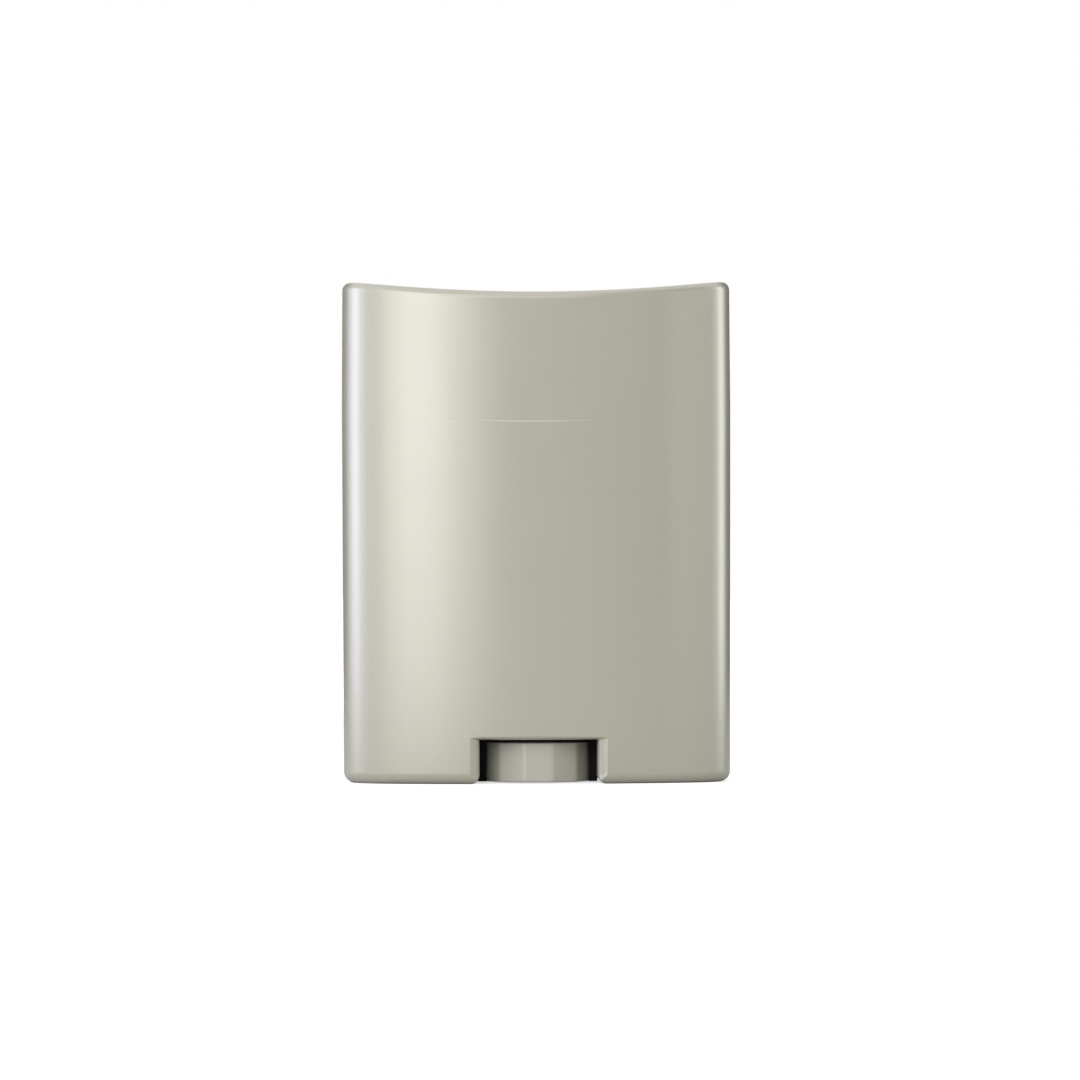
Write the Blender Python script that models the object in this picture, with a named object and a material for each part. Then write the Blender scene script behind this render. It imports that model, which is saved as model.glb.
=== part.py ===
"""Oval dial-up balm stick: cap, casing, dial drive and balm, one object for each piece.

Metres, +Z up. The origin is the middle of the foot. The front faces -Y.
"""
import math

import bmesh
import bpy
from mathutils import Matrix, Vector

# Body seen from above: a rounded oval, the same all the way up but for its drafts
BODY_WIDTH = 0.0640
BODY_DEPTH = 0.0240
OVAL_POWER = 2.5
OVAL_POINTS = 64

# Body seen from the front: the seam and the cap's top are arcs, dished in the middle
SEAM_HEIGHT = 0.0593
CAP_HEIGHT = 0.0211
SEAM_DISH_RADIUS = 0.2200
TOP_DISH_RADIUS = 0.2500
CAP_DRAFT = 0.00013
CASE_DRAFT = 0.00020
CAP_TOP_ROUND = 0.00155
FOOT_ROUND = 0.0020
RIM_ROUND = 0.0002
ROUND_STEPS = 5
EDGE_STEPS = 2

# Play between pieces that touch or slide
CLEARANCE = 0.0003
# How far a cutter runs past what it cuts, and how deep joined shapes overlap
OVERRUN = 0.0010
# Points closer than this are one point
MERGE_DISTANCE = 0.000002
# Faces that meet at less than this are shaded as one
SMOOTH_ANGLE = math.radians(35)

# Cap and its liner
CAP_WALL = 0.0015
LINER_WALL = 0.0009
LINER_CROWN = 0.0010
LINER_RISE = 0.0005
LINER_ROUND = 0.0003

# Casing
CASE_WALL = 0.0016
CASE_FLOOR = 0.0018
CHEEK_WALL = 0.0012

# Dial
DIAL_SIDES = 12
DIAL_RADIUS = 0.00897
DIAL_HEIGHT = 0.0065
DIAL_LIFT = 0.0002
DIAL_EDGE = 0.0004
DIAL_FLOOR = 0.0016
DIAL_SKIRT = 0.0014
HUB_RADIUS = 0.0038

# Bay for the dial, and its notches in the casing
BAY_CLEARANCE = 0.00068
BAY_HEADROOM = 0.0005
LIP_ROUND = 0.0023
LIP_TOP_ROUND = 0.0009
LIP_DEPTH = 0.0015
BAY_FOOT_ROUND = 0.0015
LIP_TURN = math.radians(80)

# Dial housing
HOUSING_PLATE = 0.0014
RUB_RING_WIDTH = 0.0019
RUB_RING_PLAY = 0.00012
TONGUE_PLAY = 0.0002
TONGUE_LAP = 0.00015
TONGUE_SPREAD = math.radians(24)
TONGUE_STEPS = 6

# Inner barrel
BARREL_WALL = 0.0012
BARREL_FLOOR = 0.0018
FOOT_BAND = 0.0020
SHOULDER_BAND = 0.0030
SHOULDER_DROP = 0.0004
NECK_BEAD = 0.0002
BEAD_WIDTH = 0.0008
BEAD_DROP = 0.0012
NECK_ROUND = 0.0004

# Lead screw
SCREW_CORE = 0.0026
THREAD_DEPTH = 0.0010
THREAD_ROOT = 0.0022
THREAD_CREST = 0.0014
PITCH = 0.0040
THREAD_TURNS = 8.25
JOURNAL_RADIUS = 0.0022
FLANGE_RADIUS = 0.0052
FLANGE_THICKNESS = 0.0012
DRIVE_FLATS = 0.0030
TIP_LENGTH = 0.0015
TURN_STEPS = 24

# Seal round the journal
SEAL_CORD = 0.0010
SEAL_STEPS = 28
SEAL_CORD_STEPS = 10

# Carriage
CARRIAGE_WALL = 0.0010
SKIRT_LENGTH = 0.0116
PLATFORM = 0.0015
CUP_DEPTH = 0.0050
NUT_WALL = 0.0014
NUT_TURNS = 1.5
NUT_LENGTH = 0.0100

# Balm
LIFT_TURNS = 3
BALM_PROUD = 0.0003
BALM_EDGE = 0.0022
CROWN_RADIUS = 0.1400
SPINDLE_ROOM = 0.0008

# Heights that follow from the sizes above
BAY_WIDTH = DIAL_RADIUS + BAY_CLEARANCE
BAY_HEIGHT = DIAL_LIFT + DIAL_HEIGHT + BAY_HEADROOM
PLATE_TOP = BAY_HEIGHT + HOUSING_PLATE
BARREL_BASE = PLATE_TOP + CLEARANCE
BARREL_DECK = BARREL_BASE + BARREL_FLOOR
FLANGE_BASE = BARREL_DECK + CLEARANCE
FLANGE_TOP = FLANGE_BASE + FLANGE_THICKNESS
CARRIAGE_BASE = FLANGE_TOP + CLEARANCE
PLATFORM_BASE = CARRIAGE_BASE + SKIRT_LENGTH
PLATFORM_TOP = PLATFORM_BASE + PLATFORM
CUP_RIM = PLATFORM_TOP + CUP_DEPTH
CAP_TOP = SEAM_HEIGHT + CAP_HEIGHT
LINER_TOP = CAP_TOP - CAP_WALL - CLEARANCE
CEILING = LINER_TOP - LINER_CROWN
BALM_TOP = CEILING - CLEARANCE - LIFT_TURNS * PITCH
NECK_RIM = BALM_TOP - BALM_PROUD

# Insets from the body's outline, from the outside in
CASE_BORE = CASE_WALL
BAND_INSET = CASE_BORE + CLEARANCE
LINER_INSET = CAP_WALL + CLEARANCE
LINER_BORE = LINER_INSET + LINER_WALL
NECK_INSET = LINER_BORE + CLEARANCE
BARREL_BORE = NECK_INSET + BARREL_WALL
CARRIAGE_INSET = BARREL_BORE + CLEARANCE
CUP_INSET = CARRIAGE_INSET + CARRIAGE_WALL
PLUG_INSET = CUP_INSET + CLEARANCE

# Radii round the screw
CREST_RADIUS = SCREW_CORE + THREAD_DEPTH
NUT_BORE = CREST_RADIUS + CLEARANCE
NUT_RADIUS = NUT_BORE + NUT_WALL
JOURNAL_BORE = JOURNAL_RADIUS + CLEARANCE

# Tongues of the housing beside the dial
TONGUE_BORE = DIAL_RADIUS + TONGUE_PLAY
TONGUE_FACE = BAY_WIDTH + TONGUE_LAP
TONGUE_REACH = TONGUE_BORE * math.sin(TONGUE_SPREAD)


def clear_scene():
    """Removes every object."""
    for old in list(bpy.data.objects):
        bpy.data.objects.remove(old, do_unlink=True)


def material(name, colour, roughness, metallic=0.0):
    """A Principled material; colour is linear RGB."""
    made = bpy.data.materials.new(name)
    made.use_nodes = True
    shader = made.node_tree.nodes["Principled BSDF"]
    shader.inputs["Base Color"].default_value = (*colour, 1.0)
    shader.inputs["Roughness"].default_value = roughness
    shader.inputs["Metallic"].default_value = metallic
    made.diffuse_color = (*colour, 1.0)
    return made


def pearl_champagne():
    """Satin pearl coating of the cap, the casing and the dial."""
    return material("pearl_champagne", (0.45, 0.43, 0.36), 0.35, 0.35)


def white_plastic():
    """White moulded plastic of the barrel and the liner."""
    return material("white_plastic", (0.80, 0.80, 0.77), 0.40)


def dark_plastic():
    """Near-black moulded plastic round the dial."""
    return material("dark_plastic", (0.012, 0.011, 0.010), 0.50)


def natural_plastic():
    """Milky plastic of the screw and the carriage."""
    return material("natural_plastic", (0.72, 0.72, 0.68), 0.45)


def seal_rubber():
    """Grey seal rubber."""
    return material("seal_rubber", (0.10, 0.10, 0.10), 0.60)


def balm():
    """Off-white balm."""
    return material("balm", (0.86, 0.83, 0.72), 0.30)


def seam_dish(height):
    """Height over x of the seam's arc, which is lowest in the middle, at height."""
    return lambda x: height + SEAM_DISH_RADIUS - math.sqrt(SEAM_DISH_RADIUS**2 - x**2)


def top_dish(height):
    """Height over x of the arc of the cap's top, which is lowest in the middle, at height."""
    return lambda x: height + TOP_DISH_RADIUS - math.sqrt(TOP_DISH_RADIUS**2 - x**2)


def crown(height):
    """Height over x of an arc that is highest in the middle."""
    return lambda x: height - CROWN_RADIUS + math.sqrt(CROWN_RADIUS**2 - x**2)


def level(height):
    """The same height at every x."""
    return lambda x: height


def signed_power(value, power):
    """A power that keeps the value's sign."""
    return math.copysign(abs(value) ** power, value)


def oval_half_depth(x, inset):
    """Half the depth of the inset oval at x."""
    share = 1 - (abs(x) / (BODY_WIDTH / 2 - inset)) ** OVAL_POWER
    return (BODY_DEPTH / 2 - inset) * max(share, 0) ** (1 / OVAL_POWER)


def oval(inset):
    """The body's outline drawn in by inset, as points that run round from +X."""
    points = []
    for step in range(OVAL_POINTS):
        turn = 2 * math.pi * step / OVAL_POINTS
        x = (BODY_WIDTH / 2 - inset) * signed_power(math.cos(turn), 2 / OVAL_POWER)
        y = (BODY_DEPTH / 2 - inset) * signed_power(math.sin(turn), 2 / OVAL_POWER)
        points.append((x, y))
    return points


def add_ring(bm, inset, height):
    """A loop of vertices on the inset oval, at height(x). Returns its vertices in order."""
    return [bm.verts.new((x, y, height(x))) for x, y in oval(inset)]


def join_rings(bm, lower, upper):
    """Faces between two rings with the same number of vertices."""
    for step in range(len(lower)):
        bm.faces.new((lower[step - 1], lower[step], upper[step], upper[step - 1]))


def close_across(bm, ring):
    """Fills a ring with strips from its front to its back, which bend with x alone."""
    half = len(ring) // 2
    bm.faces.new((ring[0], ring[1], ring[-1]))
    for step in range(1, half - 1):
        bm.faces.new((ring[step], ring[step + 1], ring[-step - 1], ring[-step]))
    bm.faces.new((ring[half - 1], ring[half], ring[half + 1]))


def finish_mesh(bm, name, look):
    """Turns the faces outwards and makes the named object."""
    bmesh.ops.recalc_face_normals(bm, faces=bm.faces)
    mesh = bpy.data.meshes.new(name)
    bm.to_mesh(mesh)
    bm.free()
    mesh.shade_smooth()
    mesh.set_sharp_from_angle(angle=SMOOTH_ANGLE)
    made = bpy.data.objects.new(name, mesh)
    if look:
        mesh.materials.append(look)
    bpy.context.scene.collection.objects.link(made)
    return made


def lofted(name, look, sections, closed=False):
    """Bridges a list of (inset, height) sections; closed joins the last to the first."""
    bm = bmesh.new()
    rings = [add_ring(bm, inset, height) for inset, height in sections]
    pairs = list(zip(rings, rings[1:]))
    if closed:
        pairs.append((rings[-1], rings[0]))
    else:
        close_across(bm, rings[0])
        close_across(bm, rings[-1])
    for lower, upper in pairs:
        join_rings(bm, lower, upper)
    return finish_mesh(bm, name, look)


def rounded(inset, height, size, side, turn, steps=ROUND_STEPS):
    """Sections of a quarter round of the given size that ends at inset and height.

    side is 1 where the round is on top of a wall and -1 where it is under it. turn is 1 for an
    outer face and -1 for an inner one. The sections run from the flat face to the wall.
    """
    sections = []
    for step in range(steps + 1):
        angle = math.pi / 2 * step / steps
        drawn_in = size * (1 - math.sin(angle))
        drop = size * (1 - math.cos(angle))
        sections.append((inset + turn * drawn_in, shifted(height, -side * drop)))
    return sections


def shifted(height, change):
    """The same height function, moved up by change."""
    return lambda x: height(x) + change


def as_cutter(cutter):
    """Marks a tool shape, which is not a piece of the stick."""
    cutter.hide_render = True
    cutter.display_type = "WIRE"
    return cutter


def boolean(target, tool, operation):
    """Cuts the target with the tool, or joins the tool to it."""
    modifier = target.modifiers.new(f"{operation.lower()}_{tool.name}", "BOOLEAN")
    modifier.operation = operation
    modifier.object = as_cutter(tool)
    modifier.solver = "EXACT"


def turned(name, look, profile, steps=TURN_STEPS):
    """Spins a profile of (radius, height) points, from the axis and back to it, round +Z."""
    bm = bmesh.new()
    points = [bm.verts.new((radius, 0, height)) for radius, height in profile]
    edges = [bm.edges.new(pair) for pair in zip(points, points[1:])]
    bmesh.ops.spin(
        bm, geom=points + edges, cent=(0, 0, 0), axis=(0, 0, 1),
        angle=2 * math.pi, steps=steps, use_merge=True,
    )
    bmesh.ops.remove_doubles(bm, verts=bm.verts, dist=MERGE_DISTANCE)
    return finish_mesh(bm, name, look)


def cylinder(name, radius, low, high, look=None, steps=TURN_STEPS):
    """A plain cylinder round +Z."""
    return turned(name, look, [(0, high), (radius, high), (radius, low), (0, low)], steps)


def block(name, look, low, high):
    """A box between two corners."""
    bm = bmesh.new()
    size = Vector(high) - Vector(low)
    middle = (Vector(high) + Vector(low)) / 2
    place = Matrix.Translation(middle) @ Matrix.Diagonal((*size, 1))
    bmesh.ops.create_cube(bm, size=1, matrix=place)
    return finish_mesh(bm, name, look)


def helix(name, inner, outer, inner_width, outer_width, middle, turns):
    """A left-hand thread: a trapezoid swept round +Z, which starts at height middle.

    It is turned by half a step, so that its corners miss those of the cylinder that carries it.
    """
    bm = bmesh.new()
    corners = [
        (inner, middle - inner_width / 2),
        (outer, middle - outer_width / 2),
        (outer, middle + outer_width / 2),
        (inner, middle + inner_width / 2),
    ]
    face = bm.faces.new([bm.verts.new((radius, 0, height)) for radius, height in corners])
    steps = round(turns * TURN_STEPS)
    turn = 2 * math.pi * turns
    bmesh.ops.spin(
        bm, geom=[face], cent=(0, 0, 0), axis=(0, 0, 1), angle=-turn, steps=steps,
        dvec=(0, 0, PITCH * turns / steps),
    )
    half_step = Matrix.Rotation(math.pi / TURN_STEPS, 3, "Z")
    bmesh.ops.rotate(bm, verts=bm.verts, cent=(0, 0, 0), matrix=half_step)
    return finish_mesh(bm, name, None)


def cap_sections(inset, rim, top, round_size):
    """Sections of one side of a plain cap's wall, from its crown down to its rim."""
    sections = rounded(inset + CAP_DRAFT, top_dish(top), round_size, 1, 1, EDGE_STEPS)
    sections.append((inset, seam_dish(rim)))
    return sections


def make_cap_shell(look):
    """Outer cap, hollow from below, with a dished top and a soft top edge."""
    rim = SEAM_HEIGHT + CLEARANCE
    outside = rounded(CAP_DRAFT, top_dish(CAP_TOP), CAP_TOP_ROUND, 1, 1)
    outside.append((0, seam_dish(rim + RIM_ROUND)))
    outside.append((RIM_ROUND, seam_dish(rim)))
    inside = cap_sections(CAP_WALL, rim, CAP_TOP - CAP_WALL, RIM_ROUND)
    return lofted("cap_shell", look, outside + inside[::-1])


def make_cap_liner(look):
    """Thin inner cap that closes over the neck."""
    rim = SEAM_HEIGHT + CLEARANCE + LINER_RISE
    outside = cap_sections(LINER_INSET, rim, LINER_TOP, LINER_ROUND)
    inside = cap_sections(LINER_BORE, rim, CEILING, LINER_ROUND)
    return lofted("cap_liner", look, outside + inside[::-1])


def bay_section(spread, rise):
    """Half of the bay's outline seen from the front, from its top middle to under the foot."""
    half_width = BAY_WIDTH + spread
    points = [(0, BAY_HEIGHT + rise), (half_width, BAY_HEIGHT + rise)]
    for step in range(ROUND_STEPS + 1):
        angle = LIP_TURN * step / ROUND_STEPS
        x = half_width + BAY_FOOT_ROUND * (1 - math.cos(angle))
        points.append((x, BAY_FOOT_ROUND * (1 - math.sin(angle))))
    last_x, last_z = points[-1]
    points.append((last_x + OVERRUN / math.tan(LIP_TURN) + OVERRUN, last_z - OVERRUN))
    return points


def make_bay_cutter():
    """Channel for the dial, from front to back, flared where it leaves the casing."""
    face = oval_half_depth(BAY_WIDTH, CASE_DRAFT)

    def ring_point(x, y, z):
        """A point of a ring, moved with the casing's face where it lies in the flare."""
        follow = oval_half_depth(abs(x), CASE_DRAFT) - face if y else 0
        return bm.verts.new((x, y + math.copysign(follow, y), z))

    stations = [(0, 0, 0)]
    for step in range(ROUND_STEPS + 1):
        angle = LIP_TURN * step / ROUND_STEPS
        flare = 1 - math.cos(angle)
        y = face - LIP_DEPTH + LIP_DEPTH * math.sin(angle)
        stations.append((y, LIP_ROUND * flare, LIP_TOP_ROUND * flare))
    reach = math.tan(LIP_TURN) * OVERRUN
    y, spread, rise = stations[-1]
    stations.append((y + OVERRUN, spread + reach, rise + reach / 2))
    ordered = [(-y, spread, rise) for y, spread, rise in stations[:0:-1]] + stations
    bm = bmesh.new()
    rings = []
    for y, spread, rise in ordered:
        right = bay_section(spread, rise)
        outline = right + [(-x, z) for x, z in right[:0:-1]]
        rings.append([ring_point(x, y, z) for x, z in outline])
    for near, far in zip(rings, rings[1:]):
        join_rings(bm, near, far)
    bm.faces.new(rings[0])
    bm.faces.new(rings[-1])
    return finish_mesh(bm, "bay_cutter", None)


def make_outer_casing(look):
    """Outer casing, open at the top, with its rounded foot and a bay between cheeks for the dial."""
    outside = rounded(CASE_DRAFT, level(0), FOOT_ROUND, -1, 1)
    outside.append((0, seam_dish(SEAM_HEIGHT - RIM_ROUND)))
    outside.append((RIM_ROUND, seam_dish(SEAM_HEIGHT)))
    inside = [(CASE_BORE, seam_dish(SEAM_HEIGHT)), (CASE_BORE + CASE_DRAFT, level(CASE_FLOOR))]
    casing = lofted("outer_casing", look, outside + inside)
    outer = BAY_WIDTH + CHEEK_WALL
    reach = oval_half_depth(outer, CASE_WALL / 2)
    for side, word in ((1, "right"), (-1, "left")):
        low_x, high_x = sorted((side * BAY_WIDTH, side * outer))
        low = (low_x, -reach, CASE_FLOOR / 2)
        high = (high_x, reach, BAY_HEIGHT - CLEARANCE)
        boolean(casing, block(f"casing_cheek_{word}", None, low, high), "UNION")
    boolean(casing, make_bay_cutter(), "DIFFERENCE")
    seat_x = TONGUE_FACE + CLEARANCE
    seat_y = TONGUE_REACH + CLEARANCE
    low = (-seat_x, -seat_y, -OVERRUN)
    high = (seat_x, seat_y, BAY_HEIGHT)
    boolean(casing, block("tongue_seat_cutter", None, low, high), "DIFFERENCE")
    return casing


def housing_tongue(name, side):
    """One tongue of the housing beside the dial, hollowed to the dial's round."""
    bm = bmesh.new()
    outline = [(side * TONGUE_FACE, TONGUE_REACH), (side * TONGUE_FACE, -TONGUE_REACH)]
    for step in range(TONGUE_STEPS + 1):
        angle = TONGUE_SPREAD * (2 * step / TONGUE_STEPS - 1)
        outline.append((side * TONGUE_BORE * math.cos(angle), TONGUE_BORE * math.sin(angle)))
    face = bm.faces.new([bm.verts.new((x, y, DIAL_LIFT)) for x, y in outline])
    grown = bmesh.ops.extrude_face_region(bm, geom=[face])["geom"]
    raised = [item for item in grown if isinstance(item, bmesh.types.BMVert)]
    bmesh.ops.translate(bm, verts=raised, vec=(0, 0, BAY_HEIGHT + HOUSING_PLATE / 2 - DIAL_LIFT))
    return finish_mesh(bm, name, None)


def make_dial_housing(look):
    """Dark plate over the dial, with a ring that the dial rubs under and tongues beside it."""
    inset = CASE_BORE + CASE_DRAFT + CLEARANCE
    housing = lofted(
        "dial_housing", look, [(inset, level(BAY_HEIGHT)), (inset, level(PLATE_TOP))]
    )
    for side, word in ((1, "right"), (-1, "left")):
        boolean(housing, housing_tongue(f"housing_tongue_{word}", side), "UNION")
    ring_edge = TONGUE_BORE + TONGUE_LAP
    ring_bore = ring_edge - RUB_RING_WIDTH
    ring_base = DIAL_LIFT + DIAL_HEIGHT + RUB_RING_PLAY
    ring_top = BAY_HEIGHT + HOUSING_PLATE / 2
    ring = turned(
        "housing_rub_ring", None,
        [
            (ring_bore, ring_top), (ring_edge, ring_top), (ring_edge, ring_base),
            (ring_bore, ring_base), (ring_bore, ring_top),
        ],
    )
    boolean(housing, ring, "UNION")
    bore = cylinder("housing_bore_cutter", JOURNAL_BORE, BAY_HEIGHT - OVERRUN, PLATE_TOP + OVERRUN)
    boolean(housing, bore, "DIFFERENCE")
    return housing


def make_inner_barrel(look):
    """Barrel for the balm: bands that centre it in the casing, and a neck with a bead."""
    foot = BARREL_BASE + FOOT_BAND
    ledge = SEAM_HEIGHT - SHOULDER_DROP
    bead = NECK_RIM - BEAD_DROP
    foot_inset = BAND_INSET + CASE_DRAFT
    outside = [
        (foot_inset, level(BARREL_BASE)),
        (foot_inset, level(foot)),
        (NECK_INSET, level(foot + NECK_INSET - BAND_INSET)),
        (NECK_INSET, seam_dish(ledge - SHOULDER_BAND - NECK_INSET + BAND_INSET)),
        (BAND_INSET, seam_dish(ledge - SHOULDER_BAND)),
        (BAND_INSET, seam_dish(ledge)),
        (NECK_INSET, seam_dish(ledge)),
        (NECK_INSET, level(bead - BEAD_WIDTH)),
        (NECK_INSET - NECK_BEAD, level(bead - BEAD_WIDTH / 2)),
        (NECK_INSET, level(bead)),
    ]
    outside += rounded(NECK_INSET, level(NECK_RIM), NECK_ROUND, 1, 1, EDGE_STEPS)[::-1]
    inside = rounded(BARREL_BORE, level(NECK_RIM), NECK_ROUND, 1, -1, EDGE_STEPS)
    inside.append((BARREL_BORE, level(BARREL_DECK)))
    barrel = lofted("inner_barrel", look, outside + inside)
    bore = cylinder("barrel_bore_cutter", JOURNAL_BORE, BARREL_BASE - OVERRUN, BARREL_DECK + OVERRUN)
    boolean(barrel, bore, "DIFFERENCE")
    seat_radius = JOURNAL_RADIUS + CLEARANCE + SEAL_CORD + CLEARANCE
    seat_base = BARREL_DECK - SEAL_CORD - CLEARANCE
    seat = cylinder("seal_seat_cutter", seat_radius, seat_base, BARREL_DECK + OVERRUN)
    boolean(barrel, seat, "DIFFERENCE")
    return barrel


def make_spindle_seal(look):
    """Ring in its seat in the barrel's floor, round the journal and under the flange."""
    bm = bmesh.new()
    radius = SEAL_CORD / 2
    middle = JOURNAL_RADIUS + CLEARANCE + radius
    height = BARREL_DECK - radius
    points = []
    for step in range(SEAL_CORD_STEPS):
        angle = 2 * math.pi * step / SEAL_CORD_STEPS
        place = (middle + radius * math.cos(angle), 0, height + radius * math.sin(angle))
        points.append(bm.verts.new(place))
    edges = [bm.edges.new(pair) for pair in zip(points, points[1:] + points[:1])]
    bmesh.ops.spin(
        bm, geom=points + edges, cent=(0, 0, 0), axis=(0, 0, 1),
        angle=2 * math.pi, steps=SEAL_STEPS, use_merge=True,
    )
    return finish_mesh(bm, "spindle_seal", look)


def make_dial(look):
    """Twelve-sided knob with softened edges, hollow from above round a hub with a square socket."""
    bm = bmesh.new()
    bmesh.ops.create_cone(
        bm, cap_ends=True, segments=DIAL_SIDES, radius1=DIAL_RADIUS, radius2=DIAL_RADIUS,
        depth=DIAL_HEIGHT, matrix=Matrix.Translation((0, 0, DIAL_LIFT + DIAL_HEIGHT / 2)),
    )
    half_facet = Matrix.Rotation(math.pi / DIAL_SIDES, 3, "Z")
    bmesh.ops.rotate(bm, verts=bm.verts, cent=(0, 0, 0), matrix=half_facet)
    bmesh.ops.bevel(
        bm, geom=list(bm.edges), offset=DIAL_EDGE, segments=2, profile=0.5, affect="EDGES"
    )
    dial = finish_mesh(bm, "dial", look)
    pocket_top = DIAL_LIFT + DIAL_HEIGHT + OVERRUN
    pocket_base = DIAL_LIFT + DIAL_FLOOR
    pocket_radius = DIAL_RADIUS * math.cos(math.pi / DIAL_SIDES) - DIAL_SKIRT
    pocket = turned(
        "dial_pocket_cutter", None,
        [
            (HUB_RADIUS, pocket_top), (pocket_radius, pocket_top),
            (pocket_radius, pocket_base), (HUB_RADIUS, pocket_base), (HUB_RADIUS, pocket_top),
        ],
    )
    boolean(dial, pocket, "DIFFERENCE")
    half = DRIVE_FLATS / 2 + CLEARANCE
    socket = block("dial_socket_cutter", None, (-half, -half, pocket_base), (half, half, pocket_top))
    boolean(dial, socket, "DIFFERENCE")
    return dial


def make_lead_screw(look):
    """Square drive, journal, flange and a left-hand thread."""
    thread_top = CARRIAGE_BASE + THREAD_TURNS * PITCH
    shoulder = DIAL_LIFT + DIAL_HEIGHT + CLEARANCE
    screw = turned(
        "lead_screw", look,
        [
            (0, thread_top + TIP_LENGTH),
            (SCREW_CORE - TIP_LENGTH / 2, thread_top + TIP_LENGTH),
            (SCREW_CORE, thread_top),
            (SCREW_CORE, FLANGE_TOP),
            (FLANGE_RADIUS, FLANGE_TOP),
            (FLANGE_RADIUS, FLANGE_BASE),
            (JOURNAL_RADIUS, FLANGE_BASE),
            (JOURNAL_RADIUS, shoulder),
            (0, shoulder),
        ],
    )
    half = DRIVE_FLATS / 2
    low = (-half, -half, DIAL_LIFT + DIAL_FLOOR + CLEARANCE)
    boolean(screw, block("drive_square", None, low, (half, half, shoulder + OVERRUN)), "UNION")
    sink = THREAD_DEPTH / 4
    thread = helix(
        "screw_thread", SCREW_CORE - sink, CREST_RADIUS, THREAD_ROOT, THREAD_CREST,
        FLANGE_TOP + THREAD_ROOT, THREAD_TURNS - 1,
    )
    boolean(screw, thread, "UNION")
    return screw


def make_carriage(look):
    """Cup that holds the balm, on a skirt that guides it, with a nut on the screw."""
    sections = [
        (CUP_INSET, level(PLATFORM_BASE)),
        (CUP_INSET, level(CARRIAGE_BASE)),
        (CARRIAGE_INSET, level(CARRIAGE_BASE)),
        (CARRIAGE_INSET, level(CUP_RIM)),
        (CUP_INSET, level(CUP_RIM)),
        (CUP_INSET, level(PLATFORM_TOP)),
    ]
    carriage = lofted("carriage", look, sections)
    nut_base = PLATFORM_BASE - NUT_LENGTH
    nut = cylinder("nut_boss", NUT_RADIUS, nut_base, PLATFORM_BASE + PLATFORM / 2)
    boolean(carriage, nut, "UNION")
    bore = cylinder("nut_bore_cutter", NUT_BORE, nut_base - OVERRUN, PLATFORM_TOP + OVERRUN)
    boolean(carriage, bore, "DIFFERENCE")
    screw_start = FLANGE_TOP + THREAD_ROOT
    turns_up = math.ceil((nut_base + THREAD_ROOT - screw_start) / PITCH - 1 / 2)
    middle = screw_start + turns_up * PITCH + PITCH / 2
    sink = NUT_WALL / 4
    thread = helix(
        "nut_thread", SCREW_CORE + CLEARANCE, NUT_BORE + sink, THREAD_CREST, THREAD_ROOT,
        middle, NUT_TURNS,
    )
    boolean(carriage, thread, "UNION")
    return carriage


def make_balm_bar(look):
    """Bar of balm with a plug in the carriage's cup, a soft crown and a hole for the screw."""
    shoulder = CUP_RIM + CLEARANCE
    base = PLATFORM_TOP + CLEARANCE
    sections = [(PLUG_INSET, level(base)), (PLUG_INSET, level(shoulder))]
    sections.append((CARRIAGE_INSET, level(shoulder)))
    sections += rounded(CARRIAGE_INSET, crown(BALM_TOP), BALM_EDGE, 1, 1)[::-1]
    bar = lofted("balm_bar", look, sections)
    tip = CARRIAGE_BASE + THREAD_TURNS * PITCH + TIP_LENGTH
    hole = cylinder("balm_hole_cutter", CREST_RADIUS + SPINDLE_ROOM, base - OVERRUN, tip + SPINDLE_ROOM)
    boolean(bar, hole, "DIFFERENCE")
    return bar


def main():
    clear_scene()
    pearl = pearl_champagne()
    white = white_plastic()
    natural = natural_plastic()
    make_cap_shell(pearl)
    make_cap_liner(white)
    make_outer_casing(pearl)
    make_dial_housing(dark_plastic())
    make_inner_barrel(white)
    make_spindle_seal(seal_rubber())
    make_dial(pearl)
    make_lead_screw(natural)
    make_carriage(natural)
    make_balm_bar(balm())


main()
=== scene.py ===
"""Looks of an oval dial-up balm stick: fine shells, dial and balm, their finishes and a studio.

Laid out as an add-on and run as a script. Metres, +Z up, the front faces -Y, and every piece
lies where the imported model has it.
"""

import math

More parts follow.
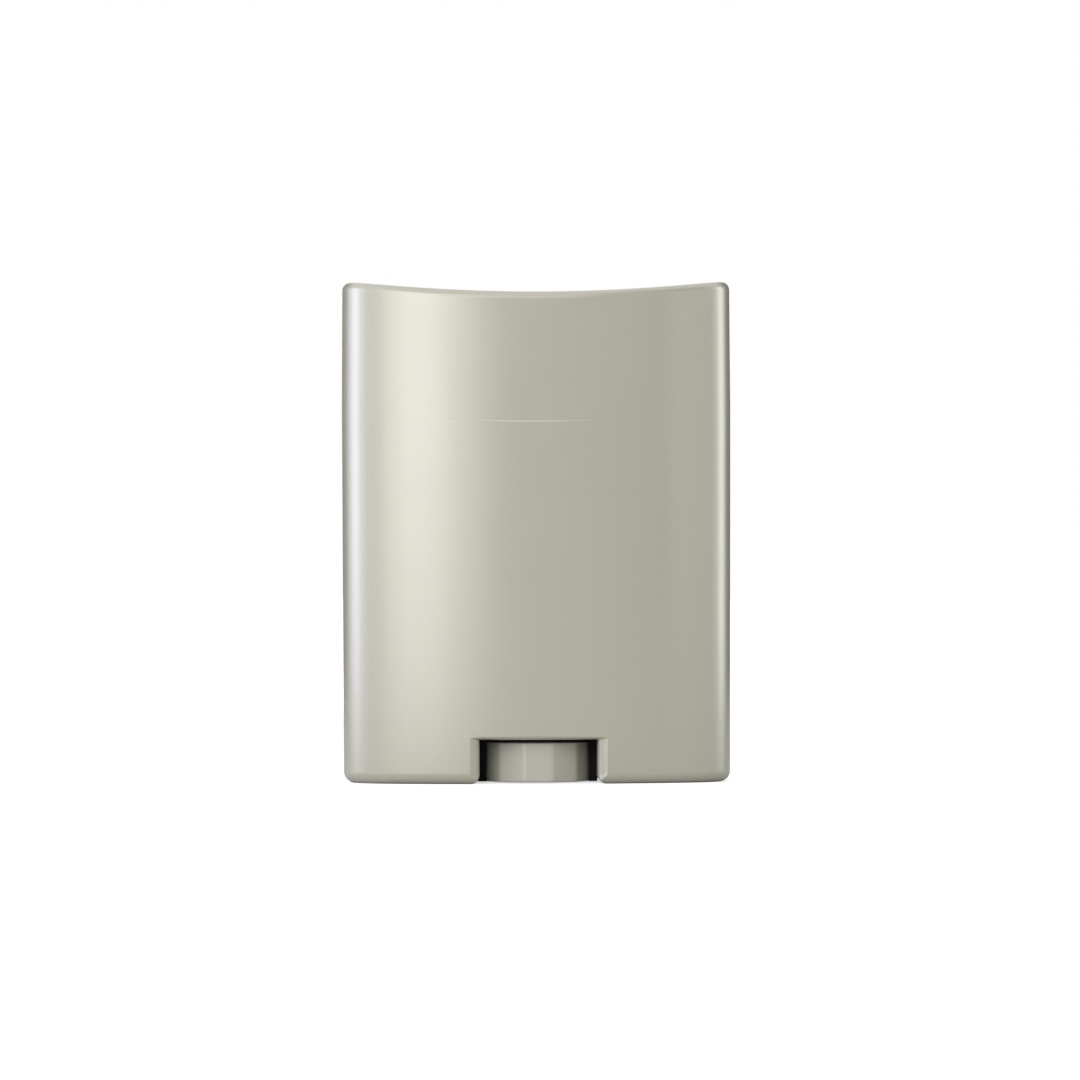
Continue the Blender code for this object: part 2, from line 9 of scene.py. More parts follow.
import bmesh
import bpy
from bpy.props import FloatProperty, FloatVectorProperty, PointerProperty
from bpy.types import Operator, Panel, PropertyGroup
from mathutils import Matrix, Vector


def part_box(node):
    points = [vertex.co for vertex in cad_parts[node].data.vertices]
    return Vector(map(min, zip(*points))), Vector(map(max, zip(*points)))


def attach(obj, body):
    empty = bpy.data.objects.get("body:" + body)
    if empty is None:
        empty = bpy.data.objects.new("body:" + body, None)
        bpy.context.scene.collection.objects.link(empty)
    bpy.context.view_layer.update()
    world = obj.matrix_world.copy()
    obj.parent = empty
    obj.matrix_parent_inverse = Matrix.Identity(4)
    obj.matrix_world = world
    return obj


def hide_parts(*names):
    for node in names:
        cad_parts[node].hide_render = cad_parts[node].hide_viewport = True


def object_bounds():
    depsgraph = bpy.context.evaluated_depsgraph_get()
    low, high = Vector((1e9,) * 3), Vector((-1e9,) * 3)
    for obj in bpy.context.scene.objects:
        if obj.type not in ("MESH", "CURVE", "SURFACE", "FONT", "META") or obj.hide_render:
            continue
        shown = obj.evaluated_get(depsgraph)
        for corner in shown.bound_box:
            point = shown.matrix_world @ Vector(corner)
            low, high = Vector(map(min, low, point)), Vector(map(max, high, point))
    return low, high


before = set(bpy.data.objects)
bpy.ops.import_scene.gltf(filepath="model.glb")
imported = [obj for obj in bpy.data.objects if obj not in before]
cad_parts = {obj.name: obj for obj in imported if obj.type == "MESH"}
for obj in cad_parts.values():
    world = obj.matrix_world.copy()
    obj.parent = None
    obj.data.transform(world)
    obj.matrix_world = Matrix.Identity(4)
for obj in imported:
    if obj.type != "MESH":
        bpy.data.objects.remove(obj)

bl_info = {
    "name": "Balm stick looks",
    "version": (1, 0, 0),
    "blender": (4, 5, 0),
    "location": "3D View > Sidebar > Balm stick",
    "description": "Builds the fine shells, dial, balm and finishes of an oval dial-up balm stick",
    "category": "Object",
}

# Points closer than this are one point
TOLERANCE = 0.000002
# Half the width of the band in which a node's middle line is looked for
MIDDLE_BAND = 0.0001
# Steps of a quarter of the oval, of a full turn and of a rounded edge
OVAL_STEPS = 64
TURN_STEPS = 96
ROUND_STEPS = 10
EDGE_STEPS = 4
RIM_STEPS = 2
# How far from 1 a point on the oval may be
ON_OVAL_SHARE = 0.002
# Faces that meet at less than this are shaded as one
SMOOTH_ANGLE = math.radians(32)

# Cap's liner: thickness of its crown, and the rounds of its edges and of its rim
LINER_CROWN = 0.0010
LINER_ROUND = 0.0003
LINER_RIM_ROUND = 0.0002

# Notch for the dial: play beside and over the dial, and columns across the notch
BAY_PLAY = 0.00068
BAY_HEADROOM = 0.0005
BAY_COLUMNS = 24
# Notch's lips: how far they spread beside it and over it, their depth, their turn and its steps
LIP_ROUND = 0.0034
LIP_TOP_ROUND = 0.0006
LIP_DEPTH = 0.0015
LIP_TURN = math.radians(86)
LIP_STEPS = 20
# Round of the notch's two lower corners, and how far a cutter runs past what it cuts
BAY_FOOT_ROUND = 0.0015
BAY_OVERRUN = 0.0001
# Seats for the housing's tongues beside the dial, whose near-black is painted shade in the gaps
# there
TONGUE_FACE = 0.0101
TONGUE_REACH = 0.0040
# Walls beside the notch, and the housing's plate over them
CHEEK_WALL = 0.0012
HOUSING_PLATE = 0.0014

# Dial: its sides, the softness of its edges, its walls and the hub with its square socket
DIAL_SIDES = 12
DIAL_EDGE = 0.00045
DIAL_RIM_EDGE = 0.00025
DIAL_SKIRT = 0.0014
DIAL_FLOOR = 0.0016
HUB_RADIUS = 0.0038
SOCKET_FLATS = 0.0036

# Barrel: its wall and floor, the bands and the bead on its outside, and the bore and its seat
BARREL_WALL = 0.0012
BARREL_FLOOR = 0.0018
FOOT_BAND = 0.0020
SHOULDER_BAND = 0.0030
SHOULDER_DROP = 0.0004
NECK_BEAD = 0.0002
BEAD_WIDTH = 0.0008
BEAD_DROP = 0.0012
NECK_ROUND = 0.0004
JOURNAL_BORE = 0.0025
SEAL_SEAT_RADIUS = 0.0038
SEAL_SEAT_DEPTH = 0.0013

# Balm: its top edge, its crown, the hole for the screw and the depth of its plug in the cup
BALM_EDGE = 0.0022
BALM_CROWN_RADIUS = 0.1400
BALM_HOLE_RADIUS = 0.0044
CUP_DEPTH = 0.0050
# Carriage's wall, and room over the screw's tip
CARRIAGE_WALL = 0.0010
SCREW_ROOM = 0.0008

# The Mix node's sockets: its factor, and the two inputs and the result for numbers and colours
MIX_FACTOR = 0
NUMBER_A, NUMBER_B, NUMBER_RESULT = 2, 3, 0
COLOUR_A, COLOUR_B, COLOUR_RESULT = 6, 7, 2
WHITE = (1, 1, 1, 1)
BLACK = (0, 0, 0, 1)


def middle_height(node, extreme):
    """Highest or lowest point of a node on its middle line, where the dished edges are lowest."""
    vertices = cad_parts[node].data.vertices
    return extreme(vertex.co.z for vertex in vertices if abs(vertex.co.x) < MIDDLE_BAND)


BODY_LOW, BODY_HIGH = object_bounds()
CAD_BOX = (BODY_LOW, BODY_HIGH)


class StickSizes(PropertyGroup):
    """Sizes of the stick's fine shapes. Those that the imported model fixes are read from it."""

    body_width: FloatProperty(
        name="Body width", description="Width of the oval that the cap and the casing share",
        default=BODY_HIGH.x - BODY_LOW.x, unit="LENGTH",
    )
    body_depth: FloatProperty(
        name="Body depth", description="Depth of that oval",
        default=BODY_HIGH.y - BODY_LOW.y, unit="LENGTH",
    )
    oval_power: FloatProperty(
        name="Oval power", description="2 is an ellipse, and more is squarer",
        default=2.5, min=2, max=4,
    )
    seam_dish: FloatProperty(
        name="Seam dish", description="Radius of the arc of the seam between cap and casing",
        default=0.2200, unit="LENGTH",
    )
    top_dish: FloatProperty(
        name="Top dish", description="Radius of the arc of the cap's top",
        default=0.2520, unit="LENGTH",
    )
    seam_step: FloatProperty(
        name="Seam step", description="How far the cap stands back from the casing in the middle",
        default=0.00008, unit="LENGTH",
    )
    seam_fade: FloatProperty(
        name="Seam fade", description="How far from the middle that step has faded to nothing",
        default=0.0205, unit="LENGTH",
    )
    cap_draft: FloatProperty(
        name="Cap draft", description="How far the cap's wall leans in at its top",
        default=0.00013, unit="LENGTH",
    )
    casing_draft: FloatProperty(
        name="Casing draft", description="How far the casing's wall leans in at its foot",
        default=0.00020, unit="LENGTH",
    )
    cap_round: FloatProperty(
        name="Cap edge", description="Radius of the cap's top edge",
        default=0.00155, unit="LENGTH",
    )
    foot_round: FloatProperty(
        name="Foot edge", description="Radius of the casing's lower edge",
        default=0.0018, unit="LENGTH",
    )
    seam_edge: FloatProperty(
        name="Seam edge", description="Height of the eased upper edge of the casing",
        default=0.00020, unit="LENGTH",
    )
    inner_round: FloatProperty(
        name="Inner edge", description="Radius of the edges inside the cap",
        default=0.0002, unit="LENGTH",
    )
    cap_wall: FloatProperty(
        name="Cap wall", description="Wall of the outer cap",
        default=0.0015, unit="LENGTH",
    )
    liner_wall: FloatProperty(
        name="Liner wall", description="Wall of the cap's liner",
        default=0.0009, unit="LENGTH",
    )
    casing_wall: FloatProperty(
        name="Casing wall", description="Wall of the casing",
        default=0.0016, unit="LENGTH",
    )
    casing_floor: FloatProperty(
        name="Casing floor", description="Thickness of the casing's floor",
        default=0.0018, unit="LENGTH",
    )
    clearance: FloatProperty(
        name="Clearance", description="Play between pieces that touch or slide",
        default=0.0003, unit="LENGTH",
    )


class StickFinishes(PropertyGroup):
    """Colours of the stick's finishes."""

    pearl: FloatVectorProperty(
        name="Pearl", description="Satin pearl coating of the cap and the casing",
        default=(0.404, 0.389, 0.306), subtype="COLOR", size=3, min=0, max=1,
    )
    pearl_flake: FloatVectorProperty(
        name="Pearl flake", description="Lighter flakes in the coating",
        default=(0.440, 0.427, 0.350), subtype="COLOR", size=3, min=0, max=1,
    )
    # The dial's pearl is partly its own uncoated plastic and partly painted light: lighter than the
    # casing's to make up for the shade in the notch
    dial_pearl_lightened: FloatVectorProperty(
        name="Dial pearl lightened", description="Pearl moulded into the dial's plastic",
        default=(0.470, 0.455, 0.385), subtype="COLOR", size=3, min=0, max=1,
    )
    dial_flake_lightened: FloatVectorProperty(
        name="Dial flake lightened", description="Lighter flakes in the dial's plastic",
        default=(0.510, 0.497, 0.430), subtype="COLOR", size=3, min=0, max=1,
    )
    white: FloatVectorProperty(
        name="White plastic", description="Barrel and liner",
        default=(0.80, 0.80, 0.77), subtype="COLOR", size=3, min=0, max=1,
    )
    # The housing's near-black is painted shade: it stands in for the shadow in the gaps beside the
    # dial
    dark: FloatVectorProperty(
        name="Painted shade black", description="Housing round the dial",
        default=(0.005, 0.005, 0.005), subtype="COLOR", size=3, min=0, max=1,
    )
    natural: FloatVectorProperty(
        name="Natural plastic", description="Screw and carriage",
        default=(0.72, 0.72, 0.68), subtype="COLOR", size=3, min=0, max=1,
    )
    rubber: FloatVectorProperty(
        name="Rubber", description="Seal round the screw's journal",
        default=(0.10, 0.10, 0.10), subtype="COLOR", size=3, min=0, max=1,
    )
    balm: FloatVectorProperty(
        name="Balm", description="Bar of balm",
        default=(0.86, 0.83, 0.72), subtype="COLOR", size=3, min=0, max=1,
    )


def sizes():
    return bpy.context.scene.stick_sizes


def finishes():
    return bpy.context.scene.stick_finishes


def start_clean():
    """Leaves edit mode and deselects everything, so that an operator acts on one piece."""
    if bpy.context.mode != "OBJECT":
        bpy.ops.object.mode_set(mode="OBJECT")
    bpy.ops.object.select_all(action="DESELECT")


def choose(piece):
    """Makes one piece the only selected object and the active one."""
    start_clean()
    piece.select_set(True)
    bpy.context.view_layer.objects.active = piece


def open_piece(piece):
    """Opens a piece in edit mode."""
    choose(piece)
    bpy.ops.object.mode_set(mode="EDIT")


def close_piece():
    bpy.ops.object.mode_set(mode="OBJECT")


def near(value, target):
    return abs(value - target) < TOLERANCE


def pick(kind, test):
    """Selects the faces or edges of the open piece that pass a test, and no others."""
    bpy.ops.mesh.select_mode(type=kind)
    bpy.ops.mesh.select_all(action="DESELECT")
    mesh = bpy.context.edit_object.data
    bm = bmesh.from_edit_mesh(mesh)
    chosen = [item for item in {"EDGE": bm.edges, "FACE": bm.faces}[kind] if test(item)]
    if not chosen:
        raise RuntimeError(f"nothing to pick on {bpy.context.edit_object.name}")
    for item in chosen:
        item.select_set(True)
    bm.select_flush_mode()
    bmesh.update_edit_mesh(mesh)


def facing(direction):
    """A test for faces that face a direction."""
    wanted = Vector(direction)

    def test(face):
        return face.normal.dot(wanted) > 1 - TOLERANCE

    return test


def level_edge(height):
    """A test for edges that lie at a height."""

    def test(edge):
        return all(near(vertex.co.z, height) for vertex in edge.verts)

    return test


def on_oval(point):
    """Whether a point lies on the body's oval."""
    across = abs(point.x) / (sizes().body_width / 2)
    along = abs(point.y) / (sizes().body_depth / 2)
    share = across ** sizes().oval_power + along ** sizes().oval_power
    return abs(share - 1) < ON_OVAL_SHARE


def half_depth(x, inset):
    """Half the depth at x of the body's oval, drawn in by inset."""
    share = abs(x) / (sizes().body_width / 2 - inset)
    rest = max(1 - share ** sizes().oval_power, 0)
    return (sizes().body_depth / 2 - inset) * rest ** (1 / sizes().oval_power)


def rise(radius, x):
    """How far an arc that is lowest in the middle has risen at x."""
    return radius - math.sqrt(radius ** 2 - x ** 2)


def add_block(name, low, high):
    """A cube, added at its size and place."""
    start_clean()
    low, high = Vector(low), Vector(high)
    bpy.ops.mesh.primitive_cube_add(size=1, location=(low + high) / 2)
    block = bpy.context.active_object
    block.name = block.data.name = name
    block.scale = high - low
    bpy.ops.object.transform_apply(location=True, rotation=True, scale=True)
    return block


def add_round(name, radius, low, high, steps=TURN_STEPS):
    """A cylinder round +Z, added at its size and place."""
    start_clean()
    bpy.ops.mesh.primitive_cylinder_add(
        vertices=steps, radius=radius, depth=high - low, location=(0, 0, (low + high) / 2),
    )
    made = bpy.context.active_object
    made.name = made.data.name = name
    bpy.ops.object.transform_apply(location=True, rotation=True, scale=True)
    return made


def add_oval(name, inset, low, high):
    """An upright block whose four corners are bevelled until they meet in the body's oval."""
    half_x = sizes().body_width / 2 - inset
    half_y = sizes().body_depth / 2 - inset
    block = add_block(name, (-half_x, -half_y, low), (half_x, half_y, high))
    open_piece(block)
    pick("EDGE", lambda edge: near(edge.verts[0].co.x, edge.verts[1].co.x)
         and near(edge.verts[0].co.y, edge.verts[1].co.y))
    bpy.ops.mesh.bevel(
        offset_type="PERCENT", offset_pct=50, segments=OVAL_STEPS, affect="EDGES",
        profile=2 ** (-2 / sizes().oval_power), clamp_overlap=False,
    )
    bpy.ops.mesh.select_all(action="SELECT")
    bpy.ops.mesh.remove_doubles(threshold=TOLERANCE)
    close_piece()
    return block


def resize_oval(old, new, height):
    """Scales what is selected from one inset's oval to another's."""
    half_x, half_y = sizes().body_width / 2, sizes().body_depth / 2
    share = ((half_x - new) / (half_x - old), (half_y - new) / (half_y - old), 1)
    bpy.ops.transform.resize(value=share, center_override=(0, 0, height))


def draw_out(sections):
    """Extrudes the selected level face through (inset, height) sections. The first is its own."""
    for (old, base), (new, height) in zip(sections, sections[1:]):
        bpy.ops.mesh.extrude_region_move(TRANSFORM_OT_translate={"value": (0, 0, height - base)})
        if new != old:
            resize_oval(old, new, height)


def soften(test, size, steps=EDGE_STEPS):
    """Bevels the edges that pass a test."""
    pick("EDGE", test)
    bpy.ops.mesh.bevel(offset=size, segments=steps, affect="EDGES", clamp_overlap=False)


def connect_across(height):
    """Cuts the level faces at a height into strips from front to back, which can follow a dish."""
    mesh = bpy.context.edit_object.data
    bm = bmesh.from_edit_mesh(mesh)
    wide = [face for face in bm.faces if len(face.verts) > 4
            and near(face.calc_center_median().z, height)]
    for face in wide:
        front = sorted((v for v in face.verts if v.co.y < -TOLERANCE), key=lambda v: v.co.x)
        back = sorted((v for v in face.verts if v.co.y > TOLERANCE), key=lambda v: v.co.x)
        for pair in zip(front, back):
            bmesh.ops.connect_verts(bm, verts=pair)
    bmesh.update_edit_mesh(mesh)


def dish(piece, radius, low, high):
    """Raises the points between two heights along an arc."""
    for vertex in piece.data.vertices:
        if low - TOLERANCE <= vertex.co.z <= high + TOLERANCE:
            vertex.co.z += rise(radius, vertex.co.x)
    piece.data.update()


def step_back(piece, height):
    """Draws in the outer points at a height, most in the middle of the front and the back."""
    for vertex in piece.data.vertices:
        if near(vertex.co.z, height) and on_oval(vertex.co):
            share = max(1 - (vertex.co.x / sizes().seam_fade) ** 2, 0)
            vertex.co.y -= math.copysign(sizes().seam_step * share, vertex.co.y)
    piece.data.update()


def dish_cap(piece):
    """Bends the rim of a cap or liner along the seam's arc and its crown along the top's arc."""
    heights = [vertex.co.z for vertex in piece.data.vertices]
    low, high = min(heights), max(heights)
    middle = (low + high) / 2
    dish(piece, sizes().top_dish, middle, high)
    dish(piece, sizes().seam_dish, low, middle)


def cut(piece, tool, operation="DIFFERENCE"):
    """Applies a Boolean with a tool shape and removes the tool."""
    choose(piece)
    modifier = piece.modifiers.new("cut", "BOOLEAN")
    modifier.operation = operation
    modifier.object = tool
    modifier.solver = "EXACT"
    bpy.ops.object.modifier_apply(modifier=modifier.name)
    bpy.data.objects.remove(tool, do_unlink=True)


def finish_piece(piece, finish, body, node):
    """Shades a piece, gives it its finish and hangs it under its body in place of a node, which it
    hides.
    """
    open_piece(piece)
    bpy.ops.mesh.select_all(action="SELECT")
    bpy.ops.mesh.normals_make_consistent(inside=False)
    close_piece()
    choose(piece)
    bpy.ops.object.shade_smooth_by_angle(angle=SMOOTH_ANGLE)
    modifier = piece.modifiers.new("level", "WEIGHTED_NORMAL")
    modifier.keep_sharp = True
    bpy.ops.object.modifier_apply(modifier=modifier.name)
    piece.data.materials.clear()
    piece.data.materials.append(finish)
    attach(piece, body)
    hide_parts(node)


def add_socket(tree, name, kind, way="INPUT", value=None):
    """A named socket of a node group."""
    made = tree.interface.new_socket(name=name, in_out=way, socket_type=kind)
    if value is not None:
        made.default_value = value
    return made


def link(tree, source, target):
    tree.links.new(source, target)


def add_node(tree, kind, place, **values):
    """A node at a place, with its settings."""
    made = tree.nodes.new(kind)
    made.location = place
    for key, value in values.items():
        setattr(made, key, value)
    return made


def set_inputs(node, values):
    """Gives a node's inputs their values, by name."""
    for name, value in values.items():
        node.inputs[name].default_value = value


def new_group(name):
    """An empty shader group, with its input and output nodes."""
    tree = bpy.data.node_groups.new(name, "ShaderNodeTree")
    start = add_node(tree, "NodeGroupInput", (-900, 0))
    return tree, start, add_node(tree, "NodeGroupOutput", (700, 0))


def pearl_flakes():
    """Group: fine light flakes in a coat, with a soft cloud, as a colour and a mask."""
    found = bpy.data.node_groups.get("pearl_flakes")
    if found:
        return found
    tree, start, end = new_group("pearl_flakes")
    add_socket(tree, "Vector", "NodeSocketVector")
    add_socket(tree, "Base", "NodeSocketColor")
    add_socket(tree, "Flake", "NodeSocketColor")
    add_socket(tree, "Flakes per metre", "NodeSocketFloat", value=7000)
    add_socket(tree, "Clouds per metre", "NodeSocketFloat", value=70)
    add_socket(tree, "Cover", "NodeSocketFloat", value=0.5)
    add_socket(tree, "Color", "NodeSocketColor", "OUTPUT")
    add_socket(tree, "Mask", "NodeSocketFloat", "OUTPUT")
    cells = add_node(tree, "ShaderNodeTexVoronoi", (-600, 150), feature="F1")
    clouds = add_node(tree, "ShaderNodeTexNoise", (-600, -150))
    set_inputs(clouds, {"Detail": 3})
    split = add_node(tree, "ShaderNodeSeparateColor", (-400, 150))
    blend = add_node(tree, "ShaderNodeMix", (-200, 50), data_type="FLOAT")
    blend.inputs[MIX_FACTOR].default_value = 0.35
    cover = add_node(tree, "ShaderNodeMath", (0, 50), operation="MULTIPLY", use_clamp=True)
    mix = add_node(tree, "ShaderNodeMix", (250, 100), data_type="RGBA")
    link(tree, start.outputs["Vector"], cells.inputs["Vector"])
    link(tree, start.outputs["Vector"], clouds.inputs["Vector"])
    link(tree, start.outputs["Flakes per metre"], cells.inputs["Scale"])
    link(tree, start.outputs["Clouds per metre"], clouds.inputs["Scale"])
    link(tree, cells.outputs["Color"], split.inputs["Color"])
    link(tree, split.outputs["Red"], blend.inputs[NUMBER_A])
    link(tree, clouds.outputs["Fac"], blend.inputs[NUMBER_B])
    link(tree, blend.outputs[NUMBER_RESULT], cover.inputs[0])
    link(tree, start.outputs["Cover"], cover.inputs[1])
    link(tree, cover.outputs[0], mix.inputs[MIX_FACTOR])
    link(tree, start.outputs["Base"], mix.inputs[COLOUR_A])
    link(tree, start.outputs["Flake"], mix.inputs[COLOUR_B])
    link(tree, mix.outputs[COLOUR_RESULT], end.inputs["Color"])
    link(tree, cover.outputs[0], end.inputs["Mask"])
    return tree


def surface_grain():
    """Group: fine grain of a moulded or coated surface, as a roughness and a bump height."""
    found = bpy.data.node_groups.get("surface_grain")
    if found:
        return found
    tree, start, end = new_group("surface_grain")
    add_socket(tree, "Vector", "NodeSocketVector")
    add_socket(tree, "Grains per metre", "NodeSocketFloat", value=1500)
    add_socket(tree, "Smears per metre", "NodeSocketFloat", value=90)
    add_socket(tree, "Smoothest", "NodeSocketFloat", value=0.2)
    add_socket(tree, "Roughest", "NodeSocketFloat", value=0.3)
    add_socket(tree, "Roughness", "NodeSocketFloat", "OUTPUT")
    add_socket(tree, "Height", "NodeSocketFloat", "OUTPUT")
    grain = add_node(tree, "ShaderNodeTexNoise", (-600, 150))
    set_inputs(grain, {"Detail": 2})
    smears = add_node(tree, "ShaderNodeTexNoise", (-600, -150))
    set_inputs(smears, {"Detail": 4})
    spread = add_node(tree, "ShaderNodeMapRange", (-200, -100), interpolation_type="SMOOTHSTEP")
    set_inputs(spread, {"From Min": 0.2, "From Max": 0.8})
    link(tree, start.outputs["Vector"], grain.inputs["Vector"])
    link(tree, start.outputs["Vector"], smears.inputs["Vector"])
    link(tree, start.outputs["Grains per metre"], grain.inputs["Scale"])
    link(tree, start.outputs["Smears per metre"], smears.inputs["Scale"])
    link(tree, smears.outputs["Fac"], spread.inputs["Value"])
    link(tree, start.outputs["Smoothest"], spread.inputs["To Min"])
    link(tree, start.outputs["Roughest"], spread.inputs["To Max"])
    link(tree, spread.outputs["Result"], end.inputs["Roughness"])
    link(tree, grain.outputs["Fac"], end.inputs["Height"])
    return tree


def new_finish(name):
    """A material with its Principled shader and object coordinates."""
    finish = bpy.data.materials.new(name)
    finish.use_nodes = True
    tree = finish.node_tree
    shader = tree.nodes["Principled BSDF"]
    coordinates = add_node(tree, "ShaderNodeTexCoord", (-1100, 0))
    return finish, tree, shader, coordinates.outputs["Object"]


def add_grain(tree, shader, where, grains, smears, roughness, depth):
    """Feeds a shader's roughness and normal from the surface grain."""
    grain = add_node(tree, "ShaderNodeGroup", (-700, -250), node_tree=surface_grain())
    set_inputs(grain, {
        "Grains per metre": grains, "Smears per metre": smears,
        "Smoothest": roughness[0], "Roughest": roughness[1],
    })
    bump = add_node(tree, "ShaderNodeBump", (-300, -350))
    set_inputs(bump, {"Strength": 1, "Distance": depth})
    link(tree, where, grain.inputs["Vector"])
    link(tree, grain.outputs["Height"], bump.inputs["Height"])
    link(tree, grain.outputs["Roughness"], shader.inputs["Roughness"])
    link(tree, bump.outputs["Normal"], shader.inputs["Normal"])


def add_flakes(tree, shader, where, base, flake, flakes, clouds, cover):
    """Feeds a shader's colour from the flakes."""
    made = add_node(tree, "ShaderNodeGroup", (-700, 150), node_tree=pearl_flakes())
    set_inputs(made, {
        "Base": (*base, 1), "Flake": (*flake, 1),
        "Flakes per metre": flakes, "Clouds per metre": clouds, "Cover": cover,
    })
    link(tree, where, made.inputs["Vector"])
    link(tree, made.outputs["Color"], shader.inputs["Base Color"])


def pearl_finish():
    """Satin pearl coating: flakes of a high refractive index under a thin clear coat."""
    found = bpy.data.materials.get("satin_pearl")
    if found:
        return found
    finish, tree, shader, where = new_finish("satin_pearl")
    set_inputs(shader, {"Metallic": 0.12, "IOR": 2.3, "Coat Weight": 0.1, "Coat Roughness": 0.15})
    add_flakes(
        tree, shader, where, finishes().pearl, finishes().pearl_flake,
        flakes=7000, clouds=60, cover=0.4,
    )
    add_grain(
        tree, shader, where, grains=1600, smears=80, roughness=(0.20, 0.24), depth=0.0000012,
    )
    return finish


def lightened_pearl_finish():
    """The dial's finish: pearl in the plastic, uncoated, lightened as painted light for the notch's
    shade.
    """
    found = bpy.data.materials.get("moulded_pearl_lightened")
    if found:
        return found
    finish, tree, shader, where = new_finish("moulded_pearl_lightened")
    set_inputs(shader, {"Metallic": 0.1, "IOR": 1.7})
    add_flakes(
        tree, shader, where, finishes().dial_pearl_lightened, finishes().dial_flake_lightened,
        flakes=5000, clouds=90, cover=0.6,
    )
    add_grain(
        tree, shader, where, grains=1800, smears=110, roughness=(0.38, 0.46), depth=0.000003,
    )
    return finish


def plastic_finish(name, colour, tint_share, grains, roughness, depth):
    """Moulded plastic, with a slight cloud in its colour: its darkest is tint_share of it."""
    found = bpy.data.materials.get(name)
    if found:
        return found
    finish, tree, shader, where = new_finish(name)
    darker = [value * tint_share for value in colour]
    add_flakes(tree, shader, where, colour, darker, flakes=2500, clouds=45, cover=0.8)
    add_grain(tree, shader, where, grains, smears=70, roughness=roughness, depth=depth)
    return finish


def set_scatter(finish, weight, scale):
    """Lets light a little way in under a finish."""
    shader = finish.node_tree.nodes["Principled BSDF"]
    set_inputs(shader, {"Subsurface Weight": weight, "Subsurface Scale": scale})


def white_finish():
    return plastic_finish(
        "moulded_white", finishes().white,
        tint_share=0.94, grains=2200, roughness=(0.30, 0.40), depth=0.000002,
    )


# Housing's near-black: painted shade, standing in for the shadow in the gaps beside the dial
def painted_shade_finish():
    finish = plastic_finish(
        "painted_shade_black", finishes().dark,
        tint_share=0.6, grains=1800, roughness=(0.55, 0.65), depth=0.000004,
    )
    # Weak gloss keeps the painted shade black
    set_inputs(finish.node_tree.nodes["Principled BSDF"], {"Specular IOR Level": 0.15})
    return finish


def natural_finish():
    finish = plastic_finish(
        "milky_plastic", finishes().natural,
        tint_share=0.93, grains=2000, roughness=(0.32, 0.45), depth=0.000002,
    )
    set_scatter(finish, weight=0.25, scale=0.001)
    return finish


def rubber_finish():
    return plastic_finish(
        "seal_rubber", finishes().rubber,
        tint_share=0.7, grains=3000, roughness=(0.55, 0.7), depth=0.000006,
    )


def balm_finish():
    """Waxy balm: a slight glow under the surface and soft swirls."""
    finish = plastic_finish(
        "waxy_balm", finishes().balm,
        tint_share=0.95, grains=600, roughness=(0.26, 0.40), depth=0.000012,
    )
    set_scatter(finish, weight=0.3, scale=0.002)
    return finish


class STICK_OT_outer_cap(Operator):
    """Outer cap: an oval shell with a dished top, a soft top edge and a crisp rim"""

    bl_idname = "stick.outer_cap"
    bl_label = "Outer cap"

    def execute(self, context):
        size = sizes()
        rim = middle_height("outer_casing", max)
        top = middle_height("cap_shell", max)
        ceiling = top - size.cap_wall
        cap = add_oval("pearl_cap", 0, rim, top)
        open_piece(cap)
        pick("FACE", facing((0, 0, 1)))
        resize_oval(0, size.cap_draft, top)
        soften(level_edge(top), size.cap_round, ROUND_STEPS)
        pick("FACE", facing((0, 0, -1)))
        inner = size.cap_wall
        draw_out([(0, rim), (inner, rim), (inner + size.cap_draft, ceiling)])
        soften(level_edge(ceiling), size.inner_round)
        connect_across(top)
        connect_across(ceiling)
        close_piece()
        step_back(cap, rim)
        dish_cap(cap)
        finish_piece(cap, pearl_finish(), "cap", "cap_shell")
        return {"FINISHED"}


class STICK_OT_cap_liner(Operator):
    """Cap liner: the thin white inner cap that closes over the neck"""

    bl_idname = "stick.cap_liner"
    bl_label = "Cap liner"

    def execute(self, context):
        size = sizes()
        rim = middle_height("cap_liner", min)
        top = middle_height("cap_liner", max)
        outer = size.cap_wall + size.clearance
        inner = outer + size.liner_wall
        ceiling = top - LINER_CROWN
        liner = add_oval("neck_cover", outer, rim, top)
        open_piece(liner)
        pick("FACE", facing((0, 0, 1)))
        resize_oval(outer, outer + size.cap_draft, top)
        soften(level_edge(top), LINER_ROUND)
        pick("FACE", facing((0, 0, -1)))
        draw_out([(outer, rim), (inner, rim), (inner + size.cap_draft, ceiling)])
        soften(level_edge(ceiling), LINER_ROUND)
        soften(level_edge(rim), LINER_RIM_ROUND, RIM_STEPS)
        connect_across(top)
        connect_across(ceiling)
        close_piece()
        dish_cap(liner)
        finish_piece(liner, white_finish(), "cap", "cap_liner")
        return {"FINISHED"}


def lip_steps(depth, width, height=0):
    """How far a lip has come out, spread and risen at each step of its turn, from nothing on."""
    steps = [(0, 0, 0)]
    for step in range(1, LIP_STEPS + 1):
        turn = LIP_TURN * step / LIP_STEPS
        flare = 1 - math.cos(turn)
        steps.append((depth * math.sin(turn), width * flare, height * flare))
    out, spread, lift = steps[-1]
    reach = math.tan(LIP_TURN) * BAY_OVERRUN
    steps.append((out + BAY_OVERRUN, spread + reach * width / depth, lift + reach * height / depth))
    return steps


def foot_inset(height):
    """How far the rounded foot has drawn in at a height."""
    radius = sizes().foot_round
    low = min(max(radius - height, 0), radius)
    return radius - math.sqrt(radius ** 2 - low ** 2)


def bay_half_width():
    """Half the width of the notch, which clears the dial's corners."""
    low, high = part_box("dial")
    return (high.x - low.x) / 2 / math.cos(math.pi / DIAL_SIDES) + BAY_PLAY


def flare_out(steps, way, half, top):
    """Extrudes the selected face of the notch's cutter through a lip's steps."""
    for (near_out, near_spread, near_lift), (out, spread, lift) in zip(steps, steps[1:]):
        move = [axis * (out - near_out) for axis in way]
        share = ((half + spread) / (half + near_spread), 1, (top + lift) / (top + near_lift))
        bpy.ops.mesh.extrude_region_move(TRANSFORM_OT_translate={"value": move})
        bpy.ops.transform.resize(value=share, center_override=(0, 0, 0))


